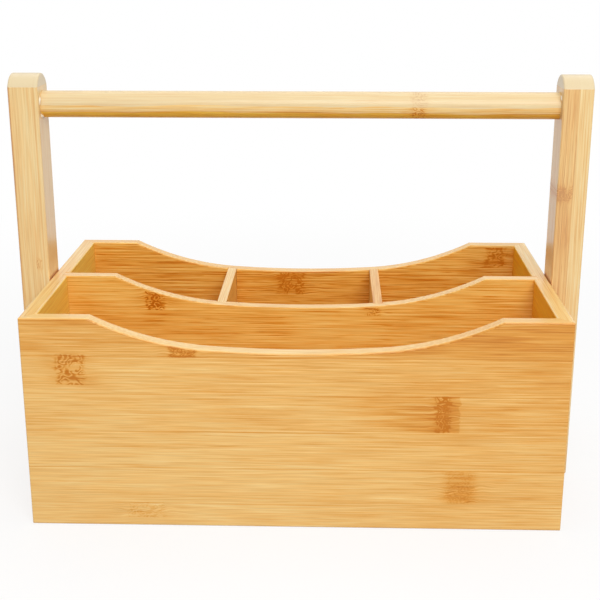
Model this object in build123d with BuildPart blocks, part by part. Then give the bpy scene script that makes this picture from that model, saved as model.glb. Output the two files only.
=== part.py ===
"""Bamboo utensil caddy: an open box with a long divider, two cross dividers and a fixed bar handle.

Millimetres. X runs along the box, the front panel faces -Y, and Z is up.
The origin is the middle of the footprint, on the surface that the caddy stands on.
"""

import os
from math import sqrt

from build123d import *

# --- Driving dimensions ---------------------------------------------------------------

# Box, outside
box_width = 310.0
box_depth = 178.0
box_height = 128.0
wall_thickness = 9.0
corner_round = 1.0  # upright corners of the box
edge_round = 1.2  # sanded long edges of the four walls

# Scooped top edge of the front panel, the back panel and the long divider
scoop_width = 232.0
scoop_depth = 19.8
scoop_middle_width = 96.0  # the nearly flat stretch
scoop_middle_radius = 740.0

# Bottom board, held in a groove of all four walls
bottom_thickness = 5.0
bottom_lift = 6.0  # from the table to the underside of the board
bottom_groove_depth = 4.0

# Dividers, each let into dadoes that are open at the top
divider_edge_round = 0.8
long_divider_thickness = 8.0
long_dado_depth = 3.0
cross_divider_thickness = 6.0
cross_dado_depth = 2.0

# Handle: two posts outside the box, with a round bar between them
post_thickness = 18.0  # along X
post_width = 24.0  # along Y
post_height = 253.5
post_crown_rise = 7.5  # of the arched top, from its corners to its middle
post_edge_round = 1.0
bar_diameter = 16.0
bar_height = 235.0  # from the table to the middle of the bar
bar_tenon_length = 10.0  # the part of the bar inside each post

# Screws that hold a post to its side panel, driven from the floor of the dado
screw_diameter = 3.5
screw_head_diameter = 7.0
screw_length = 20.0
screw_recess_width = 1.1  # one arm of the cross recess
screw_recess_span = 3.6
screw_recess_depth = 1.2
lowest_screw_height = 32.0
screw_spacing = 60.0
pilot_spare_depth = 1.0  # beyond the end of a screw

# Clearances
slide_clearance = 0.1  # each side of a board in its groove
bar_clearance = 0.1  # round the bar in its bore
screw_clearance = 0.1  # round a screw in its hole

# --- Sizes that follow ----------------------------------------------------------------

side_inner = box_width / 2 - wall_thickness  # inner face of a side panel, from the middle
front_inner = box_depth / 2 - wall_thickness  # inner face of the front or back panel
floor_height = bottom_lift + bottom_thickness
divider_back = long_divider_thickness / 2

groove_height = bottom_thickness + 2 * slide_clearance
groove_middle = bottom_lift + bottom_thickness / 2

long_dado_floor = side_inner + long_dado_depth
long_dado_width = long_divider_thickness + 2 * slide_clearance
cross_dado_width = cross_divider_thickness + 2 * slide_clearance

# Three equal compartments behind the long divider
rear_compartment_width = (2 * side_inner - 2 * cross_divider_thickness) / 3
cross_divider_middle = (rear_compartment_width + cross_divider_thickness) / 2

screw_head_height = (screw_head_diameter - screw_diameter) / 2  # 90 degree countersink
screw_heights = (lowest_screw_height, lowest_screw_height + screw_spacing)
screw_reach = screw_length - (wall_thickness - long_dado_depth)  # into the post
pilot_depth = screw_reach + pilot_spare_depth


# --- Shared profiles ------------------------------------------------------------------


def scooped_board(width, lowest):
    """Front view of a board with the scooped top edge, from the height `lowest` up."""
    bottom_of_scoop = box_height - scoop_depth
    half_middle = scoop_middle_width / 2
    middle_rise = scoop_middle_radius - sqrt(scoop_middle_radius**2 - half_middle**2)
    middle_end = bottom_of_scoop + middle_rise
    with BuildSketch(Plane.XZ) as front_view:
        with BuildLine():
            middle = ThreePointArc(
                (-half_middle, middle_end), (0, bottom_of_scoop), (half_middle, middle_end)
            )
            right = TangentArc(middle @ 1, (scoop_width / 2, box_height), tangent=middle % 1)
            left = TangentArc(
                middle @ 0, (-scoop_width / 2, box_height), tangent=-1 * (middle % 0)
            )
            Polyline(
                right @ 1,
                (width / 2, box_height),
                (width / 2, lowest),
                (-width / 2, lowest),
                (-width / 2, box_height),
                left @ 1,
            )
        make_face()
    return front_view.sketch


def mitred_wall(outer_left, outer_right, inner_right, inner_left):
    """Plan of one wall of the box, with 45 degree ends and eased outer corners."""
    with BuildSketch() as plan:
        with BuildLine():
            Polyline(outer_left, outer_right, inner_right, inner_left, close=True)
        make_face()
        RectangleRounded(box_width, box_depth, corner_round, mode=Mode.INTERSECT)
    return plan.sketch


# --- Front and back panels ------------------------------------------------------------

with BuildPart() as front_panel:
    front_view = scooped_board(box_width, 0)
    extrude(front_view.moved(Location((0, -box_depth / 2, 0))), amount=-wall_thickness)
    across = front_panel.edges().filter_by(Axis.Y)
    fillet(front_panel.edges() - across - front_panel.edges().filter_by(Axis.Z), edge_round)
    plan = mitred_wall(
        (-box_width / 2, -box_depth / 2),
        (box_width / 2, -box_depth / 2),
        (side_inner, -front_inner),
        (-side_inner, -front_inner),
    )
    extrude(plan, amount=box_height, mode=Mode.INTERSECT)
    # Groove for the bottom board
    with Locations((0, -front_inner, groove_middle)):
        Box(box_width, 2 * bottom_groove_depth, groove_height, mode=Mode.SUBTRACT)
front_panel.part.label = "front_panel"

with BuildPart() as back_panel:
    mirror(front_panel.part, about=Plane.XZ)
    # Dadoes for the rear ends of the cross dividers
    with Locations(
        (-cross_divider_middle, front_inner, floor_height),
        (cross_divider_middle, front_inner, floor_height),
    ):
        Box(
            cross_dado_width,
            2 * cross_dado_depth,
            box_height,
            align=(Align.CENTER, Align.CENTER, Align.MIN),
            mode=Mode.SUBTRACT,
        )
back_panel.part.label = "back_panel"

# --- Side panels ----------------------------------------------------------------------

with BuildPart() as right_side_panel:
    with Locations((side_inner, 0, 0)):
        Box(
            wall_thickness,
            box_depth,
            box_height,
            align=(Align.MIN, Align.CENTER, Align.MIN),
        )
    fillet(right_side_panel.edges().filter_by(Axis.Y), edge_round)
    plan = mitred_wall(
        (box_width / 2, -box_depth / 2),
        (box_width / 2, box_depth / 2),
        (side_inner, front_inner),
        (side_inner, -front_inner),
    )
    extrude(plan, amount=box_height, mode=Mode.INTERSECT)
    # Groove for the bottom board
    with Locations((side_inner, 0, groove_middle)):
        Box(2 * bottom_groove_depth, box_depth, groove_height, mode=Mode.SUBTRACT)
    # Dado for the long divider
    with Locations((side_inner, 0, floor_height)):
        Box(
            2 * long_dado_depth,
            long_dado_width,
            box_height,
            align=(Align.CENTER, Align.CENTER, Align.MIN),
            mode=Mode.SUBTRACT,
        )
    # Screw holes in the floor of the dado
    for height in screw_heights:
        with Locations(Plane(origin=(long_dado_floor, 0, height), z_dir=(-1, 0, 0))):
            CounterSinkHole(
                radius=screw_diameter / 2 + screw_clearance,
                counter_sink_radius=screw_head_diameter / 2 + screw_clearance,
                depth=wall_thickness,
                counter_sink_angle=90,
            )
right_side_panel.part.label = "right_side_panel"

with BuildPart() as left_side_panel:
    mirror(right_side_panel.part, about=Plane.YZ)
left_side_panel.part.label = "left_side_panel"

# --- Bottom board ---------------------------------------------------------------------

with BuildPart() as bottom_board:
    reach = 2 * (bottom_groove_depth - slide_clearance)
    with Locations((0, 0, bottom_lift)):
        Box(
            2 * side_inner + reach,
            2 * front_inner + reach,
            bottom_thickness,
            align=(Align.CENTER, Align.CENTER, Align.MIN),
        )
bottom_board.part.label = "bottom_board"

# --- Dividers -------------------------------------------------------------------------

with BuildPart() as long_divider:
    divider_view = scooped_board(2 * (long_dado_floor - slide_clearance), floor_height)
    extrude(divider_view.moved(Location((0, -divider_back, 0))), amount=-long_divider_thickness)
    across = long_divider.edges().filter_by(Axis.Y)
    long_edges = long_divider.edges() - across - long_divider.edges().filter_by(Axis.Z)
    fillet(long_edges, divider_edge_round)
    # Dadoes for the front ends of the cross dividers
    with Locations(
        (-cross_divider_middle, divider_back, floor_height),
        (cross_divider_middle, divider_back, floor_height),
    ):
        Box(
            cross_dado_width,
            2 * cross_dado_depth,
            box_height,
            align=(Align.CENTER, Align.CENTER, Align.MIN),
            mode=Mode.SUBTRACT,
        )
long_divider.part.label = "long_divider"

with BuildPart() as cross_divider_right:
    reach = cross_dado_depth - slide_clearance
    with Locations((cross_divider_middle, divider_back - reach, floor_height)):
        Box(
            cross_divider_thickness,
            front_inner - divider_back + 2 * reach,
            box_height - floor_height,
            align=(Align.CENTER, Align.MIN, Align.MIN),
        )
    # Its top is level with the scoop of the boards that it joins
    rear_view = scooped_board(box_width, floor_height)
    extrude(rear_view, amount=-box_depth, mode=Mode.INTERSECT)
    top = cross_divider_right.faces().sort_by(Axis.Z)[-1]
    fillet(top.edges().filter_by(Axis.Y), divider_edge_round)
cross_divider_right.part.label = "cross_divider_right"

with BuildPart() as cross_divider_left:
    mirror(cross_divider_right.part, about=Plane.YZ)
cross_divider_left.part.label = "cross_divider_left"

# --- Handle ---------------------------------------------------------------------------

with BuildPart() as right_post:
    with BuildSketch(Plane.YZ.offset(box_width / 2)):
        with BuildLine():
            shoulder = post_height - post_crown_rise
            crown = ThreePointArc(
                (-post_width / 2, shoulder), (0, post_height), (post_width / 2, shoulder)
            )
            Polyline(crown @ 1, (post_width / 2, 0), (-post_width / 2, 0), crown @ 0)
        make_face()
    extrude(amount=post_thickness)
    outer_face = right_post.faces().sort_by(Axis.X)[-1]
    inner_face = right_post.faces().sort_by(Axis.X)[0]
    fillet(outer_face.edges() + inner_face.edges(), post_edge_round)
    # Blind bore for the bar
    with Locations(Plane(origin=(box_width / 2, 0, bar_height), z_dir=(-1, 0, 0))):
        Hole(bar_diameter / 2 + bar_clearance, depth=bar_tenon_length + bar_clearance)
    # Pilot holes for the screws
    for height in screw_heights:
        with Locations(Plane(origin=(box_width / 2, 0, height), z_dir=(-1, 0, 0))):
            Hole(screw_diameter / 2 + screw_clearance, depth=pilot_depth)
right_post.part.label = "right_post"

with BuildPart() as left_post:
    mirror(right_post.part, about=Plane.YZ)
left_post.part.label = "left_post"

with BuildPart() as handle_bar:
    with BuildSketch(Plane.YZ.offset(-box_width / 2 - bar_tenon_length)):
        with Locations((0, bar_height)):
            Circle(bar_diameter / 2)
    extrude(amount=box_width + 2 * bar_tenon_length)
handle_bar.part.label = "handle_bar"

# --- Screws ---------------------------------------------------------------------------

with BuildPart() as screw:
    # Upright, with the flat of the head at the origin and the shank going down
    with BuildSketch(Plane.XZ):
        with BuildLine():
            Polyline(
                (0, 0),
                (screw_head_diameter / 2, 0),
                (screw_diameter / 2, -screw_head_height),
                (screw_diameter / 2, -screw_length),
                (0, -screw_length),
                close=True,
            )
        make_face()
    revolve(axis=Axis.Z)
    with BuildSketch():
        Rectangle(screw_recess_span, screw_recess_width)
        Rectangle(screw_recess_width, screw_recess_span)
    extrude(amount=-screw_recess_depth, mode=Mode.SUBTRACT)

with BuildPart() as right_post_screws:
    for height in screw_heights:
        with Locations(Plane(origin=(long_dado_floor, 0, height), z_dir=(-1, 0, 0))):
            add(screw.part)
right_post_screws.part.label = "right_post_screws"

with BuildPart() as left_post_screws:
    mirror(right_post_screws.part, about=Plane.YZ)
left_post_screws.part.label = "left_post_screws"

# --- Files ----------------------------------------------------------------------------

os.makedirs("parts", exist_ok=True)
for piece in (
    front_panel,
    back_panel,
    left_side_panel,
    right_side_panel,
    bottom_board,
    long_divider,
    cross_divider_left,
    cross_divider_right,
    left_post,
    right_post,
    handle_bar,
    left_post_screws,
    right_post_screws,
):
    export_step(piece.part, f"parts/{piece.part.label}.step")
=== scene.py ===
"""Looks of the bamboo utensil caddy: bamboo finishes, glue at the bar, floor, light and camera.

The axes are the frame's: X along the box, the front panel faces -Y, Z is up. The measures of the
caddy and the patterns of its bamboo are in millimetres, and all that is placed is in metres.
"""

import math

import bpy
from mathutils import Euler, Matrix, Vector


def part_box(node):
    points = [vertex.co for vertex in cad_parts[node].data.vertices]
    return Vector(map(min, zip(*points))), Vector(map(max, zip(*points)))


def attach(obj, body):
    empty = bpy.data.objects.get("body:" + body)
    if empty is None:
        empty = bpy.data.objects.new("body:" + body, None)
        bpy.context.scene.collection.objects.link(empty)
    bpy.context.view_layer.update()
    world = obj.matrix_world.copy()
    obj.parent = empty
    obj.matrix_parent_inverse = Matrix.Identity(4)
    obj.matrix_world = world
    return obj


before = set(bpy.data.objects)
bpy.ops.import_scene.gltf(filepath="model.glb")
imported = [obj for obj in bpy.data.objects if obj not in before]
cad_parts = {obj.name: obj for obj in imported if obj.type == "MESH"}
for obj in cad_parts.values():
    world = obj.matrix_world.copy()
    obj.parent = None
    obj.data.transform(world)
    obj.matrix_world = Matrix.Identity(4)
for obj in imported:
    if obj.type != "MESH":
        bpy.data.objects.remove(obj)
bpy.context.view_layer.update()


# --- Measures of the caddy, in millimetres --------------------------------------------


def reach(node, axis):
    """The lowest and highest place of a CAD node along an axis, to 0.1 mm."""
    return [round(corner["XYZ".index(axis)] * 1000.0, 1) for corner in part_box(node)]


INSIDE, HALF_WIDTH = reach("right_side_panel", "X")
BOARD = HALF_WIDTH - INSIDE
HALF_DEPTH = reach("back_panel", "Y")[1]
BOX_HEIGHT = reach("front_panel", "Z")[1]

POST_OUTSIDE = reach("right_post", "X")[1]
POST_HALF_DEPTH = reach("right_post", "Y")[1]
POST_TOP = reach("right_post", "Z")[1]

BAR_UNDERSIDE, BAR_TOP = reach("handle_bar", "Z")
BAR_AXIS = (BAR_UNDERSIDE + BAR_TOP) / 2
BAR_RADIUS = (BAR_TOP - BAR_UNDERSIDE) / 2

# The strips of the boards: their width and the height of the lowest glue line
STRIP_WIDTH = 22.8
FIRST_JOINT = 14.6


# --- Shader expressions ---------------------------------------------------------------


class Value:
    """The output of a shader node, which adds Math nodes when it is used in an expression."""

    def __init__(self, shader, socket):
        self.shader = shader
        self.socket = socket

    def math(self, operation, *values):
        return self.shader.node("Math", {"operation": operation}, dict(enumerate(values)))

    def __add__(self, other):
        return self.math("ADD", self, other)

    def __radd__(self, other):
        return self.math("ADD", other, self)

    def __sub__(self, other):
        return self.math("SUBTRACT", self, other)

    def __rsub__(self, other):
        return self.math("SUBTRACT", other, self)

    def __mul__(self, other):
        return self.math("MULTIPLY", self, other)

    def __rmul__(self, other):
        return self.math("MULTIPLY", other, self)

    def __truediv__(self, other):
        return self.math("DIVIDE", self, other)

    def __abs__(self):
        return self.math("ABSOLUTE", self)

    def floor(self):
        return self.math("FLOOR", self)

    def fraction(self):
        return self.math("FRACT", self)

    def root(self):
        return self.math("SQRT", self)

    def at_least(self, other):
        return self.math("MAXIMUM", self, other)

    def is_number(self, number):
        """1 where this whole number is the given one, and 0 where it is another."""
        return self.math("COMPARE", self, number, 0.5)

    def step(self, start, end):
        """0 before start, 1 after end, and smooth between them. Start may be past end."""
        rising = start < end
        inputs = {
            "Value": self,
            "From Min": min(start, end),
            "From Max": max(start, end),
            "To Min": 0.0 if rising else 1.0,
            "To Max": 1.0 if rising else 0.0,
        }
        return self.shader.node("MapRange", {"interpolation_type": "SMOOTHSTEP"}, inputs)

    def within(self, low, high, soft):
        """1 between low and high, with edges this soft."""
        return self.step(low, low + soft) * self.step(high, high - soft)

    def near(self, place, half_width):
        """1 at a place and 0 from half_width on."""
        return abs(self - place).step(half_width, 0.0)


class Shader:
    """The nodes of a material or of the world."""

    def __init__(self, tree):
        self.tree = tree

    def node(self, kind, settings=None, inputs=None, output=0):
        """Adds a node, with its settings first, and returns one of its outputs."""
        made = self.tree.nodes.new("ShaderNode" + kind)
        for setting, value in (settings or {}).items():
            if setting == "stops":
                self.set_stops(made.color_ramp, value)
            else:
                setattr(made, setting, value)
        for socket, value in (inputs or {}).items():
            self.plug(made.inputs[socket], value)
        return Value(self, made.outputs[output])

    def plug(self, socket, value):
        if isinstance(value, Value):
            self.tree.links.new(value.socket, socket)
        else:
            socket.default_value = value

    def set_stops(self, ramp, stops):
        while len(ramp.elements) > 1:
            ramp.elements.remove(ramp.elements[-1])
        ramp.elements[0].position = stops[0][0]
        ramp.elements[0].color = stops[0][1]
        for place, colour in stops[1:]:
            ramp.elements.new(place).color = colour

    def axes(self, vector):
        """The X, Y and Z of a vector."""
        separate = self.node("SeparateXYZ", inputs={0: vector}).socket.node
        return [Value(self, output) for output in separate.outputs]

    def noise(self, x, y, z, detail=2.0, roughness=0.5):
        """Noise from 0 to 1, with one bump for each unit of x, y and z."""
        vector = self.node("CombineXYZ", inputs={"X": x, "Y": y, "Z": z})
        inputs = {"Vector": vector, "Scale": 1.0, "Detail": detail, "Roughness": roughness}
        return self.node("TexNoise", inputs=inputs)

    def blend(self, first, second, share, how="MIX"):
        """A colour that goes from the first to the second as share goes from 0 to 1."""
        settings = {"data_type": "RGBA", "blend_type": how}
        # A Mix node has these sockets for colours, next to those for numbers and vectors
        return self.node("Mix", settings, {0: share, 6: first, 7: second}, output=2)

    def seen(self):
        """1 on what the camera sees, also in a mirror or through glass, and 0 as a light."""
        camera = self.node("LightPath", output="Is Camera Ray")
        mirrored = self.node("LightPath", output="Is Glossy Ray")
        through = self.node("LightPath", output="Is Transmission Ray")
        return camera.at_least(mirrored).at_least(through)


class Finish(Shader):
    """A material with a Principled surface."""

    def __init__(self, name):
        self.material = bpy.data.materials.new(name)
        self.material.use_nodes = True
        super().__init__(self.material.node_tree)
        self.surface = self.tree.nodes["Principled BSDF"]

    def set(self, **values):
        """Sets or links the surface's own sockets, with _ for the spaces in their names."""
        for name, value in values.items():
            self.plug(self.surface.inputs[name.replace("_", " ")], value)


def colour(red, green, blue):
    """A colour from 0 to 255, as on a screen, as the linear colour that a socket takes."""

    def linear(level):
        level /= 255
        return level / 12.92 if level <= 0.04045 else ((level + 0.055) / 1.055) ** 2.4

    return (linear(red), linear(green), linear(blue), 1.0)


# --- Bamboo ---------------------------------------------------------------------------

# From the darkest fibre to the palest edge
BAMBOO_TONES = (
    (0.00, colour(142, 66, 8)),
    (0.22, colour(196, 111, 18)),
    (0.42, colour(225, 156, 64)),
    (0.56, colour(238, 184, 103)),
    (0.72, colour(245, 204, 131)),
    (0.88, colour(249, 221, 160)),
    (1.00, colour(251, 232, 186)),
)
# The tone without any pattern, and the darkest that the patterns may make it
MIDDLE_TONE = 0.57
DARKEST = 0.25

CUT_END = colour(225, 207, 168)

# What the deeper faces are multiplied by. On faces inside the box this is painted shade, the deeper
# orange of light that bounces round in it, deeper on the right side panel than on the left; the
# bar's lower ply takes DEEPEST as its own colour
INNER_SHADE_TINT = (1.0, 0.94, 0.66, 1.0)
DEEPEST = (1.0, 0.92, 0.32, 1.0)
RIGHT_INNER_SHADE_TINT = (1.0, 0.75, 0.07, 1.0)
LEFT_INNER_SHADE_TINT = (1.0, 0.93, 0.38, 1.0)

# What the pores are multiplied by, from the darkest to the palest
DARK_PORE = (0.88, 0.88, 0.88, 1.0)
PALE_PORE = (1.12, 1.12, 1.12, 1.0)

# How far each pattern moves the tone
FIBRES = 0.46
DASHES = 0.10
DARK_HAIRS = 0.11
PALE_HAIRS = 0.09
BANDS = 0.10
PORES = 0.12
BLOTCHES = 0.19
DRIFT = 0.14
GLUE_LINE = 0.12
GLUE_EDGE = 0.05
PLY_LINE = 0.10
MITRE_LINE = 0.16
# Painted shade on the soft edges of a rim where they turn down
PAINTED_EDGE_SHADE = 0.12
# Painted shade in the seam where a post lies against a side panel
PAINTED_SEAM_SHADE = 0.45

# How far a ring of the culm wanders along its board and bends the fibres near it
RING_WANDER = 9.0
RING_BEND = 4.0

# How far the halo, flecks, shade and trail of a ring move the tone, and its spikes for its mark
RING_HALO = 0.04
RING_FLECKS = 0.08
RING_SHADE = 0.09
RING_TRAIL = 0.14
RING_SPIKES = 0.35

# The lacquer: a clear coat over fibres that shine a little by themselves
LACQUER = 0.45
FIBRE_GLOSS = 0.2
FIBRE_ROUGHNESS = 0.38


class Bamboo:
    """Strips of bamboo, glued side by side. Along is the grain, across goes over the strips."""

    def __init__(self, name, along, across, strip_width, first_joint, seed, rings=(), contrast=1.0):
        self.finish = Finish(name)
        self.seed = seed
        place = self.finish.node("TexCoord", output="Object")
        self.spot = dict(zip("XYZ", (value * 1000.0 for value in self.finish.axes(place))))
        normal = self.finish.node("NewGeometry", output="Normal")
        self.facing = dict(zip("XYZ", self.finish.axes(normal)))
        self.along = self.spot[along]
        self.across = self.spot[across]
        self.through = self.spot[(set("XYZ") - {along, across}).pop()]
        strips = (self.across - first_joint) / strip_width
        self.strip = strips.floor()
        self.from_joint = strip_width / 2 - abs(strips.fraction() - 0.5) * strip_width
        self.bend = 0.0
        self.stain = 0.0
        self.relief = self.grain(120.0, 1.6, seed + 90.0)
        for ring in rings:
            self.add_ring(**ring)
        # Each strip, and each pattern in it, has its own part of the noise
        shift = self.strip * 17.3 + seed
        self.fibres = self.grain(48.0, 0.95, shift, detail=3.0, roughness=0.66)
        bands = self.grain(110.0, 5.0, shift + 31.0)
        blotches = self.grain(36.0, 6.0, shift * 0.3 + 43.0)
        drift = self.grain(130.0, 36.0, seed + 5.0, detail=1.0)
        dashes = self.grain(16.0, 1.1, shift + 57.0, detail=1.0)
        hairs = self.grain(36.0, 0.5, shift + 71.0, detail=0.0)
        self.pores = self.grain(28.0, 0.62, shift + 83.0, detail=1.0)
        glue_line = self.from_joint.step(0.5, 0.1) * (0.4 + drift.step(0.40, 0.60) * 0.6)
        self.streaks = (
            (self.fibres - 0.5) * FIBRES
            - dashes.step(0.60, 0.78) * DASHES
            - hairs.step(0.56, 0.66) * DARK_HAIRS
        )
        self.tone = (
            MIDDLE_TONE
            + self.streaks * contrast
            + (bands - 0.5) * BANDS
            + (self.pores - 0.5) * PORES
            + (blotches - 0.5) * BLOTCHES
            + (drift - 0.5) * DRIFT
            + hairs.step(0.42, 0.30) * PALE_HAIRS
            - glue_line * GLUE_LINE
            + self.from_joint.near(1.0, 0.5) * GLUE_EDGE
            - self.stain
        )

    def grain(self, length, thickness, shift, **kind):
        """Streaks of about this length and thickness, in millimetres."""
        across = self.across + self.bend
        depth = self.through / thickness + shift
        return self.finish.noise(self.along / length, across / thickness, depth, **kind)

    def add_ring(
        self,
        at,
        low,
        high,
        half_width,
        size=1.0,
        stain=0.05,
        mark=0.12,
        core=0.0,
        trail=0.0,
        shade=0.0,
        top=0.0,
        soft=0.8,
    ):
        """A ring of the culm: its swirls stain one strip of the board and bend the fibres round it.

        Stain darkens the ring all over, mark its swirls, and core a patch inside them. Size is that
        of the swirls. Shade is the length of a darker stretch past the ring's middle, and trail
        that of a streak, which lies before the ring where it is negative. Top is the share of the
        ring that shows on faces that look up, and soft the width of its upper and lower edges.
        """
        finish = self.finish
        along = self.along / size
        across = self.across / size
        seed = self.seed + at
        swirl = finish.noise(along / 5.5, across / 4.2, seed, detail=0.7)
        patches = finish.noise(along / 9.0, across / 6.0, seed + 4.0, detail=1.0).step(0.34, 0.46)
        spikes = finish.noise(along / 11.0, across / 0.9, seed + 9.0).step(0.54, 0.72)
        flecks = finish.noise(along / 2.6, across / 0.9, seed + 13.0).step(0.62, 0.74)
        slow = finish.noise(along / 16.0, across / 5.0, seed + 7.0, detail=0.0)
        wander = finish.noise(self.across / 6.0, at, self.seed, detail=3.0, roughness=0.7) - 0.5
        away = self.along - at - wander * RING_WANDER
        upward = self.facing["Z"].step(0.3, 0.8)
        inside = self.across.within(low, high, soft) * (1.0 - upward * (1.0 - top))
        zone = abs(away).step(half_width + 1.2 + soft, half_width - 0.7 - soft) * inside
        nearby = abs(away).step(half_width * 3.5, half_width * 0.6) * inside
        outlines = (swirl * 5.0).fraction().near(0.5, 0.4)
        island = swirl.step(0.58, 0.63)
        self.bend = self.bend + nearby * (slow - 0.5) * RING_BEND
        lines = zone * patches * outlines * mark + nearby * spikes * mark * RING_SPIKES
        halo = abs(away).step(half_width * 3.0, half_width) * inside * RING_HALO
        self.stain = self.stain + zone * (stain + island * core) + lines + halo
        self.stain = self.stain - zone * flecks * RING_FLECKS
        if shade:
            self.stain = self.stain + inside * away.within(0.0, shade, 0.8) * RING_SHADE
        if trail:
            behind = away * (1 if trail > 0 else -1)
            fade = behind.step(abs(trail), 0.0) * behind.step(-half_width, half_width)
            streaks = finish.noise(self.along / 60.0, self.across / 3.5, seed + 3.0)
            self.stain = self.stain + fade * inside * streaks.step(0.35, 0.60) * RING_TRAIL

    def shade_strips(self, shades):
        """Changes the tone of single strips, counted from the first joint."""
        for strip, shade in shades.items():
            self.tone = self.tone + self.strip.is_number(strip) * shade

    def up(self):
        """1 on faces that look up."""
        return self.facing["Z"].step(0.6, 0.9)

    def add_rim(self, axis, outer, paler):
        """The rim of a wall: its two plies, the mitre at each corner, a painted highlight on its
        top face and inner edge, and painted shade on its soft edges where they turn down.
        """
        side = abs(self.spot[axis])
        ply_line = side.near(outer - 3.4, 0.45)
        mitre = abs(self.spot["X"]) - abs(self.spot["Y"]) - (HALF_WIDTH - HALF_DEPTH)
        inner_edge_highlight = side.step(outer - BOARD + 1.4, outer - BOARD + 0.2)
        lines = ply_line * PLY_LINE + mitre.near(0.0, 0.4) * MITRE_LINE
        # The top face is paler, a painted highlight, more so at the inner edge; the ply line and
        # mitre are darker
        self.tone = self.tone + self.up() * (paler + inner_edge_highlight * 0.06 - lines)
        # Painted shade on the soft edges where they turn down
        self.tone = self.tone - self.facing["Z"].near(0.20, 0.17) * PAINTED_EDGE_SHADE

    def done(self, richer=0.0, deeper=INNER_SHADE_TINT, paler=0.0, gloss=LACQUER, darkest=DARKEST):
        """Colours and lacquers the finish, and returns its material.

        Richer is a mask for faces of a deeper colour, where the lacquer shines less: on faces
        inside the box it is painted shade, and on the bar the own colour of its lower ply. Paler is
        one for pale cut ends.
        """
        finish = self.finish
        base = finish.node("ValToRGB", {"stops": BAMBOO_TONES}, {0: self.tone.at_least(darkest)})
        base = finish.blend(base, deeper, richer, how="MULTIPLY")
        pores = finish.blend(DARK_PORE, PALE_PORE, self.pores)
        base = finish.blend(base, pores, 1.0, how="MULTIPLY")
        base = finish.blend(base, CUT_END, paler)
        relief = {"Strength": 0.12, "Distance": 0.0004, "Height": self.relief}
        finish.set(Base_Color=base, Normal=finish.node("Bump", inputs=relief), IOR=1.45)
        roughness = FIBRE_ROUGHNESS + (self.fibres - 0.5) * 0.15
        finish.set(Roughness=roughness, Specular_IOR_Level=FIBRE_GLOSS)
        coat = gloss * (1.0 - self.stain * 2.0) * (1.0 - richer * 0.7)
        finish.set(Coat_Weight=coat, Coat_Roughness=0.2, Coat_IOR=1.5)
        return finish.material


def board(name, along, seed, rings=(), contrast=1.0):
    """The bamboo of an upright board, with its strips lying one above the other."""
    return Bamboo(name, along, "Z", STRIP_WIDTH, FIRST_JOINT, seed, rings, contrast)


def front_panel_finish():
    fine = dict(size=0.7)
    trailing = dict(shade=10.0, trail=-70.0, **fine)
    stained = dict(stain=0.12, **fine)
    rings = (
        dict(at=-127.0, low=88.0, high=107.0, half_width=7.5, stain=0.02, mark=0.24, core=0.12),
        dict(at=84.0, low=61.0, high=84.0, half_width=3.5, mark=0.36, **trailing),
        dict(at=95.0, low=15.0, high=39.5, half_width=8.0, mark=0.07, soft=4.0, **stained),
        dict(at=-87.0, low=5.0, high=15.5, half_width=11.0, stain=0.01, mark=0.10, **fine),
        dict(at=-63.0, low=105.0, high=113.0, half_width=7.0, mark=0.18, core=0.16, **stained),
    )
    bamboo = board("front_panel_bamboo", "X", seed=3.0, rings=rings, contrast=0.55)
    bamboo.shade_strips({4: -0.03, 3: -0.01, 2: 0.02, 1: 0.05, 0: 0.06, -1: 0.08})
    near_rim = bamboo.spot["Z"].step(98.0, 116.0)
    # Darker toward the right end: painted shade where the light falls off
    painted_falloff_right = bamboo.spot["X"].step(-60.0, 150.0)
    bamboo.tone = bamboo.tone - near_rim * 0.07 - painted_falloff_right * 0.07
    bamboo.add_rim("Y", HALF_DEPTH, 0.24)
    return bamboo.done()


def back_panel_finish():
    rings = (
        dict(at=-8.0, low=91.0, high=108.0, half_width=9.0, stain=0.04, mark=0.30, core=0.14),
        dict(at=134.0, low=112.0, high=127.0, half_width=6.5, mark=0.26),
        dict(at=-70.0, low=38.0, high=60.0, half_width=7.0),
    )
    bamboo = board("back_panel_bamboo", "X", seed=41.0, rings=rings, contrast=0.8)
    # The inner face has stronger streaks, and is darker and deeper in colour: painted shade inside
    # the box
    inward = bamboo.facing["Y"].step(-0.5, -0.9)
    bamboo.tone = bamboo.tone + inward * (bamboo.streaks * 1.2 - 0.04)
    bamboo.add_rim("Y", HALF_DEPTH, 0.06)
    return bamboo.done(richer=inward)


def side_panel_finish(name, seed, inward, deeper, paler):
    """Inward is the direction of the inner face along X. That face is deeper in colour, a painted
    shade inside the box, and paler, painted light, the more so on the left panel, which faces the
    key light.
    """
    bamboo = board(name, "Y", seed=seed, contrast=0.8)
    bamboo.add_rim("X", HALF_WIDTH, 0.13)
    # The inner face: painted light makes it paler, painted shade deeper in colour
    inner = bamboo.facing["X"].step(0.5 * inward, 0.9 * inward)
    # Painted shade in the seam where the post lies against the panel's outer face
    at_outside = abs(bamboo.spot["X"]).step(HALF_WIDTH - 1.2, HALF_WIDTH - 0.4)
    behind_post = abs(bamboo.spot["Y"]).step(POST_HALF_DEPTH + 0.4, POST_HALF_DEPTH - 0.2)
    painted_seam_shade = at_outside * behind_post
    bamboo.tone = bamboo.tone + inner * paler - painted_seam_shade * PAINTED_SEAM_SHADE
    return bamboo.done(richer=inner, deeper=deeper)


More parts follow.
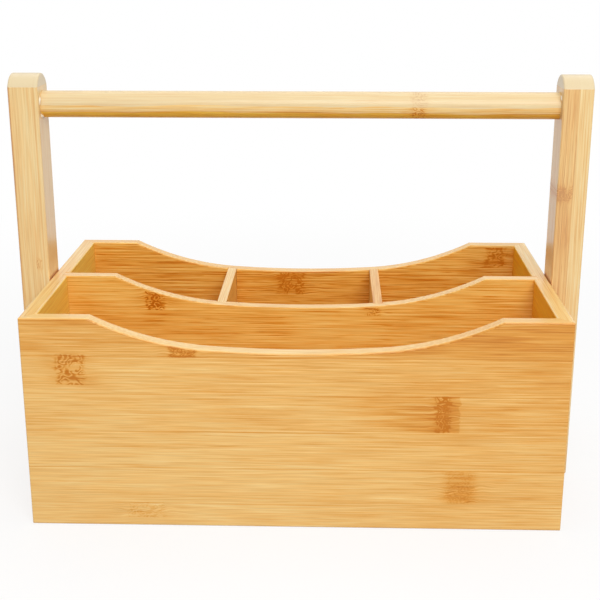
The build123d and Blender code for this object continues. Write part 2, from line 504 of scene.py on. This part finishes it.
def divider_finish():
    rings = (
        dict(at=-91.0, low=105.5, high=121.0, half_width=5.5, size=0.8, mark=0.42, core=0.14),
        dict(at=46.0, low=103.0, high=109.0, half_width=4.0, size=0.6, stain=0.04, mark=0.26),
    )
    bamboo = board("long_divider_bamboo", "X", seed=73.0, rings=rings, contrast=1.5)
    # Its faces are deeper in colour, a painted shade inside the box, and its top is paler, a
    # painted highlight
    sides = abs(bamboo.facing["Y"]).step(0.5, 0.9)
    bamboo.tone = bamboo.tone + sides * 0.03 + bamboo.up() * 0.12
    return bamboo.done(richer=sides, darkest=0.18)


def cross_divider_finish(name, seed, paler):
    """Paler is the change of the top edge's tone, a painted reflection. The sides are deeper in
    colour, a painted shade inside the box.
    """
    bamboo = board(name, "Y", seed=seed)
    sides = abs(bamboo.facing["X"]).step(0.5, 0.9)
    bamboo.tone = bamboo.tone + sides * 0.05 + bamboo.up() * paler
    return bamboo.done(richer=sides)


def bottom_finish():
    rings = (
        dict(at=-60.0, low=0.5, high=19.5, half_width=7.0),
        dict(at=72.0, low=-39.5, high=-20.5, half_width=7.0),
    )
    strips = dict(strip_width=20.0, first_joint=0.0)
    bamboo = Bamboo("bottom_board_bamboo", "X", "Y", seed=101.0, rings=rings, **strips)
    return bamboo.done()


# Where the plain arched top of a post starts, and the glue line near its inner face
CAP_START = POST_TOP - 7.5
POST_JOINT = HALF_WIDTH + 2.5


def post_finish(name, seed, first_joint, strip_width, shades, contrast, painted_inner_sheen, ring):
    """Upright strips up to a plain pale top. The inner face's tone is changed by a painted sheen,
    and darkened by painted shade close to the box.
    """
    bamboo = Bamboo(name, "Z", "X", strip_width, first_joint, seed, (ring,), contrast)
    across = bamboo.spot["X"]
    height = bamboo.spot["Z"]
    bamboo.tone = bamboo.tone + 0.16
    bamboo.shade_strips(shades)
    # Both of these lie on the left post alone
    outer_edge = across.step(1.8 - POST_OUTSIDE, 0.6 - POST_OUTSIDE)
    bamboo.tone = bamboo.tone - outer_edge * 0.34 - across.near(-POST_JOINT, 0.7) * 0.14
    # The inner face: a painted sheen, and painted shade that deepens close to the box
    inner = abs(across).step(HALF_WIDTH + 0.5, HALF_WIDTH + 0.1)
    painted_shade_near_box = height.step(BOX_HEIGHT + 32.0, BOX_HEIGHT) * 0.16
    painted_shade_at_box = height.step(BOX_HEIGHT + 2.5, BOX_HEIGHT) * 0.4
    bamboo.tone = bamboo.tone + inner * (painted_inner_sheen - (painted_shade_near_box + painted_shade_at_box))
    bamboo.tone = bamboo.tone - height.near(CAP_START, 0.5) * 0.10
    cap = height.step(CAP_START - 0.1, CAP_START + 0.3)
    return bamboo.done(paler=0.30 + cap * 0.62)


def left_post_finish():
    """One wide strip and the glue line near the inner face."""
    ring = dict(at=138.0, low=-163.0, high=-158.5, half_width=2.5, size=0.5, mark=0.40)
    return post_finish("left_post_bamboo", 7.0, -POST_JOINT, 30.0, {}, 1.1, 0.05, ring)


def right_post_finish():
    """A darker strip on the inside and a paler one outside."""
    ring = dict(at=184.0, low=154.5, high=164.5, half_width=3.5, size=0.5, stain=0.04, mark=0.42)
    shades = {0: -0.19, 1: 0.04}
    return post_finish("right_post_bamboo", 13.0, HALF_WIDTH, 9.5, shades, 1.5, 0.22, ring)


def bar_finish():
    """Three plies: pale above, tan below the middle and deep orange under a wavy dark line."""
    low = BAR_UNDERSIDE - 5.0
    high = BAR_TOP + 5.0
    ring = dict(at=71.0, low=low, high=high, half_width=4.0, size=0.6, mark=0.32, top=1.0)
    whole = dict(strip_width=40.0, first_joint=210.0)
    bamboo = Bamboo("handle_bar_bamboo", "X", "Z", seed=57.0, rings=(ring,), contrast=1.4, **whole)
    wave = bamboo.finish.noise(bamboo.along / 28.0, 0.5, 3.0, detail=1.0) - 0.5
    height = bamboo.spot["Z"] + bamboo.spot["X"] * 0.003 + wave * 3.0
    lower_joint = BAR_AXIS - 4.0
    upper = height.step(BAR_AXIS - 0.3, BAR_AXIS + 0.2)
    lower = height.step(lower_joint + 0.3, lower_joint - 0.3)
    dark_line = height.near(lower_joint + 0.2, 0.6)
    pale_line = height.near(BAR_AXIS + 0.6, 0.5)
    bamboo.tone = bamboo.tone + 0.15 + (upper - lower) * 0.01 - dark_line * 0.12 + pale_line * 0.06
    return bamboo.done(richer=lower, deeper=DEEPEST, paler=0.05 + upper * 0.62, gloss=0.3)


def screw_finish():
    finish = Finish("zinc_plate")
    finish.set(Base_Color=colour(196, 196, 190), Metallic=1.0)
    place = finish.node("TexCoord", output="Object")
    smears = finish.node("TexNoise", inputs={"Vector": place, "Scale": 900.0})
    finish.set(Roughness=0.3 + smears * 0.1)
    return finish.material


# --- Dress the frame ------------------------------------------------------------------


def dress():
    """Gives each node of the frame its own finish."""
    screws = screw_finish()
    finishes = {
        "front_panel": front_panel_finish(),
        "back_panel": back_panel_finish(),
        "left_side_panel": side_panel_finish("left_side_bamboo", 11.0, 1, LEFT_INNER_SHADE_TINT, 0.21),
        "right_side_panel": side_panel_finish("right_side_bamboo", 29.0, -1, RIGHT_INNER_SHADE_TINT, 0.10),
        "bottom_board": bottom_finish(),
        "long_divider": divider_finish(),
        "cross_divider_left": cross_divider_finish("left_cross_divider_bamboo", 83.0, 0.12),
        "cross_divider_right": cross_divider_finish("right_cross_divider_bamboo", 89.0, -0.04),
        "left_post": left_post_finish(),
        "right_post": right_post_finish(),
        "handle_bar": bar_finish(),
        "left_post_screws": screws,
        "right_post_screws": screws,
    }
    for node, material in finishes.items():
        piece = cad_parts[node]
        piece.data.materials.clear()
        piece.data.materials.append(material)


# --- Glue at the ends of the bar ------------------------------------------------------

BAR_HEIGHT = BAR_AXIS / 1000.0
BEAD_RADIUS = BAR_RADIUS / 1000.0
DROP_REACH = 0.001
DROP_FADE = 0.0025

# Drops are pairs of the angle round the bar, from the front (-Y) over the top, and the swelling
LEFT_DROPS = ((-0.95, 0.0012), (0.25, 0.0006), (0.6, 0.0004))
RIGHT_DROPS = ((0.7, 0.0008), (1.3, 0.0004), (-0.5, 0.0003))


def glue_finish():
    """Clear on the wood, where its colour shows through, and white where it stands out."""
    finish = Finish("dried_glue")
    y, z = finish.axes(finish.node("TexCoord", output="Object"))[1:]
    radius = (y * y + (z - BAR_HEIGHT) * (z - BAR_HEIGHT)).root() * 1000.0
    proud = radius.step(BAR_RADIUS + 0.4, BAR_RADIUS + 0.9)
    base = finish.blend(colour(222, 182, 120), colour(246, 240, 224), proud)
    finish.set(Base_Color=base, Roughness=0.5, Specular_IOR_Level=0.15)
    return finish.material


def add_glue_bead(name, face, thickness, drops, material):
    """A bead of glue round the bar where it enters a post, with drops squeezed out of it."""
    bpy.ops.object.select_all(action="DESELECT")
    bpy.ops.mesh.primitive_torus_add(
        location=(face, 0.0, BAR_HEIGHT),
        rotation=(0.0, math.pi / 2, 0.0),
        major_radius=BEAD_RADIUS,
        minor_radius=thickness,
        major_segments=72,
        minor_segments=10,
    )
    bead = bpy.context.object
    bead.name = name
    bpy.ops.object.transform_apply(location=True, rotation=True, scale=True)
    bpy.ops.object.mode_set(mode="EDIT")
    bpy.ops.mesh.select_all(action="DESELECT")
    bpy.ops.object.mode_set(mode="OBJECT")
    for angle, swelling in drops:
        along_y = -BEAD_RADIUS * math.cos(angle)
        height = BAR_HEIGHT + BEAD_RADIUS * math.sin(angle)
        spot = Vector((face, along_y, height))
        for vertex in bead.data.vertices:
            vertex.select = (vertex.co - spot).length < DROP_REACH
        bpy.ops.object.mode_set(mode="EDIT")
        bpy.ops.transform.shrink_fatten(
            value=swelling,
            use_proportional_edit=True,
            proportional_edit_falloff="SMOOTH",
            proportional_size=DROP_FADE,
        )
        bpy.ops.mesh.select_all(action="DESELECT")
        bpy.ops.object.mode_set(mode="OBJECT")
    bpy.ops.object.shade_smooth()
    bead.data.materials.append(material)
    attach(bead, "root")


# --- Floor, light and camera ----------------------------------------------------------


WHITE = (1.0, 1.0, 1.0, 1.0)
FLOOR_COLOUR = (0.97, 0.97, 0.97, 1.0)
FLOOR_AS_LIGHT = (0.5, 0.5, 0.5, 1.0)

# How white the floor is made, and how far from the caddy its shadow fades
WHITE_AT_CADDY = 0.76
WHITE_FAR_OFF = 1.0
SHADOW_START, SHADOW_END = 0.30, 0.80

# The world's strength as a light, and where it is seen
WORLD_LIGHT = 0.53
WORLD_SEEN = 1.0

# Name, place, size and power in watts. Each points at AIM.
SOFTBOXES = (
    ("key_softbox", (0.30, -1.25, 1.05), (1.0, 0.8), 14.2),
    ("top_softbox", (0.0, 0.0, 1.3), (1.2, 1.2), 1.6),
    ("rear_softbox", (0.0, 0.9, 1.4), (1.4, 0.8), 3.2),
)
AIM = Vector((0.0, 0.0, 0.1))

# The photograph's viewpoint, from a fit of the box, the posts and the bar to its edges
CAMERA_PLACE = (0.0206, -0.68655, 0.32619)
CAMERA_PITCH = 0.30202
CAMERA_TURN = 0.02951
FOCAL_LENGTH = 68.22
SENSOR_WIDTH = 36.0


def make_floor():
    """A white floor that keeps a soft shadow close to the caddy."""
    bpy.ops.object.select_all(action="DESELECT")
    bpy.ops.mesh.primitive_plane_add(size=12.0, location=(0, 0, 0))
    floor = bpy.context.object
    floor.name = "floor"
    finish = Finish("pale_floor")
    seen = finish.seen()
    finish.set(Base_Color=finish.blend(FLOOR_AS_LIGHT, FLOOR_COLOUR, seen), Roughness=0.9)
    x, y = finish.axes(finish.node("TexCoord", output="Object"))[:2]
    outward = (x * x + y * y).root().step(SHADOW_START, SHADOW_END)
    share = WHITE_AT_CADDY + outward * (WHITE_FAR_OFF - WHITE_AT_CADDY)
    white = finish.node("Emission", inputs={"Color": WHITE, "Strength": 1.0})
    lit = Value(finish, finish.surface.outputs[0])
    mixed = finish.node("MixShader", inputs={0: seen * share, 1: lit, 2: white})
    finish.plug(finish.tree.nodes["Material Output"].inputs["Surface"], mixed)
    floor.data.materials.append(finish.material)


def make_world():
    """White where it is seen or mirrored, and dimmer as a light."""
    world = bpy.data.worlds.new("studio")
    bpy.context.scene.world = world
    world.use_nodes = True
    sky = Shader(world.node_tree)
    background = sky.tree.nodes["Background"]
    sky.plug(background.inputs["Color"], WHITE)
    strength = WORLD_LIGHT + sky.seen() * (WORLD_SEEN - WORLD_LIGHT)
    sky.plug(background.inputs["Strength"], strength)


def add_softbox(name, place, size, power):
    light = bpy.data.lights.new(name, "AREA")
    light.shape = "RECTANGLE"
    light.size, light.size_y = size
    light.energy = power
    lamp = bpy.data.objects.new(name, light)
    bpy.context.scene.collection.objects.link(lamp)
    lamp.location = place
    lamp.rotation_euler = (AIM - Vector(place)).to_track_quat("-Z", "Y").to_euler()


def make_camera():
    """A camera at the photograph's viewpoint."""
    camera = bpy.data.cameras.new("camera")
    camera.sensor_width = SENSOR_WIDTH
    camera.lens = FOCAL_LENGTH
    camera.clip_start = 0.01
    holder = bpy.data.objects.new("camera", camera)
    bpy.context.scene.collection.objects.link(holder)
    holder.location = CAMERA_PLACE
    holder.rotation_euler = Euler((math.pi / 2 - CAMERA_PITCH, 0.0, CAMERA_TURN), "XYZ")
    bpy.context.scene.camera = holder


# --- The scene ------------------------------------------------------------------------

dress()
glue = glue_finish()
add_glue_bead("left_glue_bead", -HALF_WIDTH / 1000.0, 0.00024, LEFT_DROPS, glue)
add_glue_bead("right_glue_bead", HALF_WIDTH / 1000.0, 0.00014, RIGHT_DROPS, glue)
make_floor()
make_world()
for softbox in SOFTBOXES:
    add_softbox(*softbox)
make_camera()
bpy.context.scene.view_settings.view_transform = "Standard"
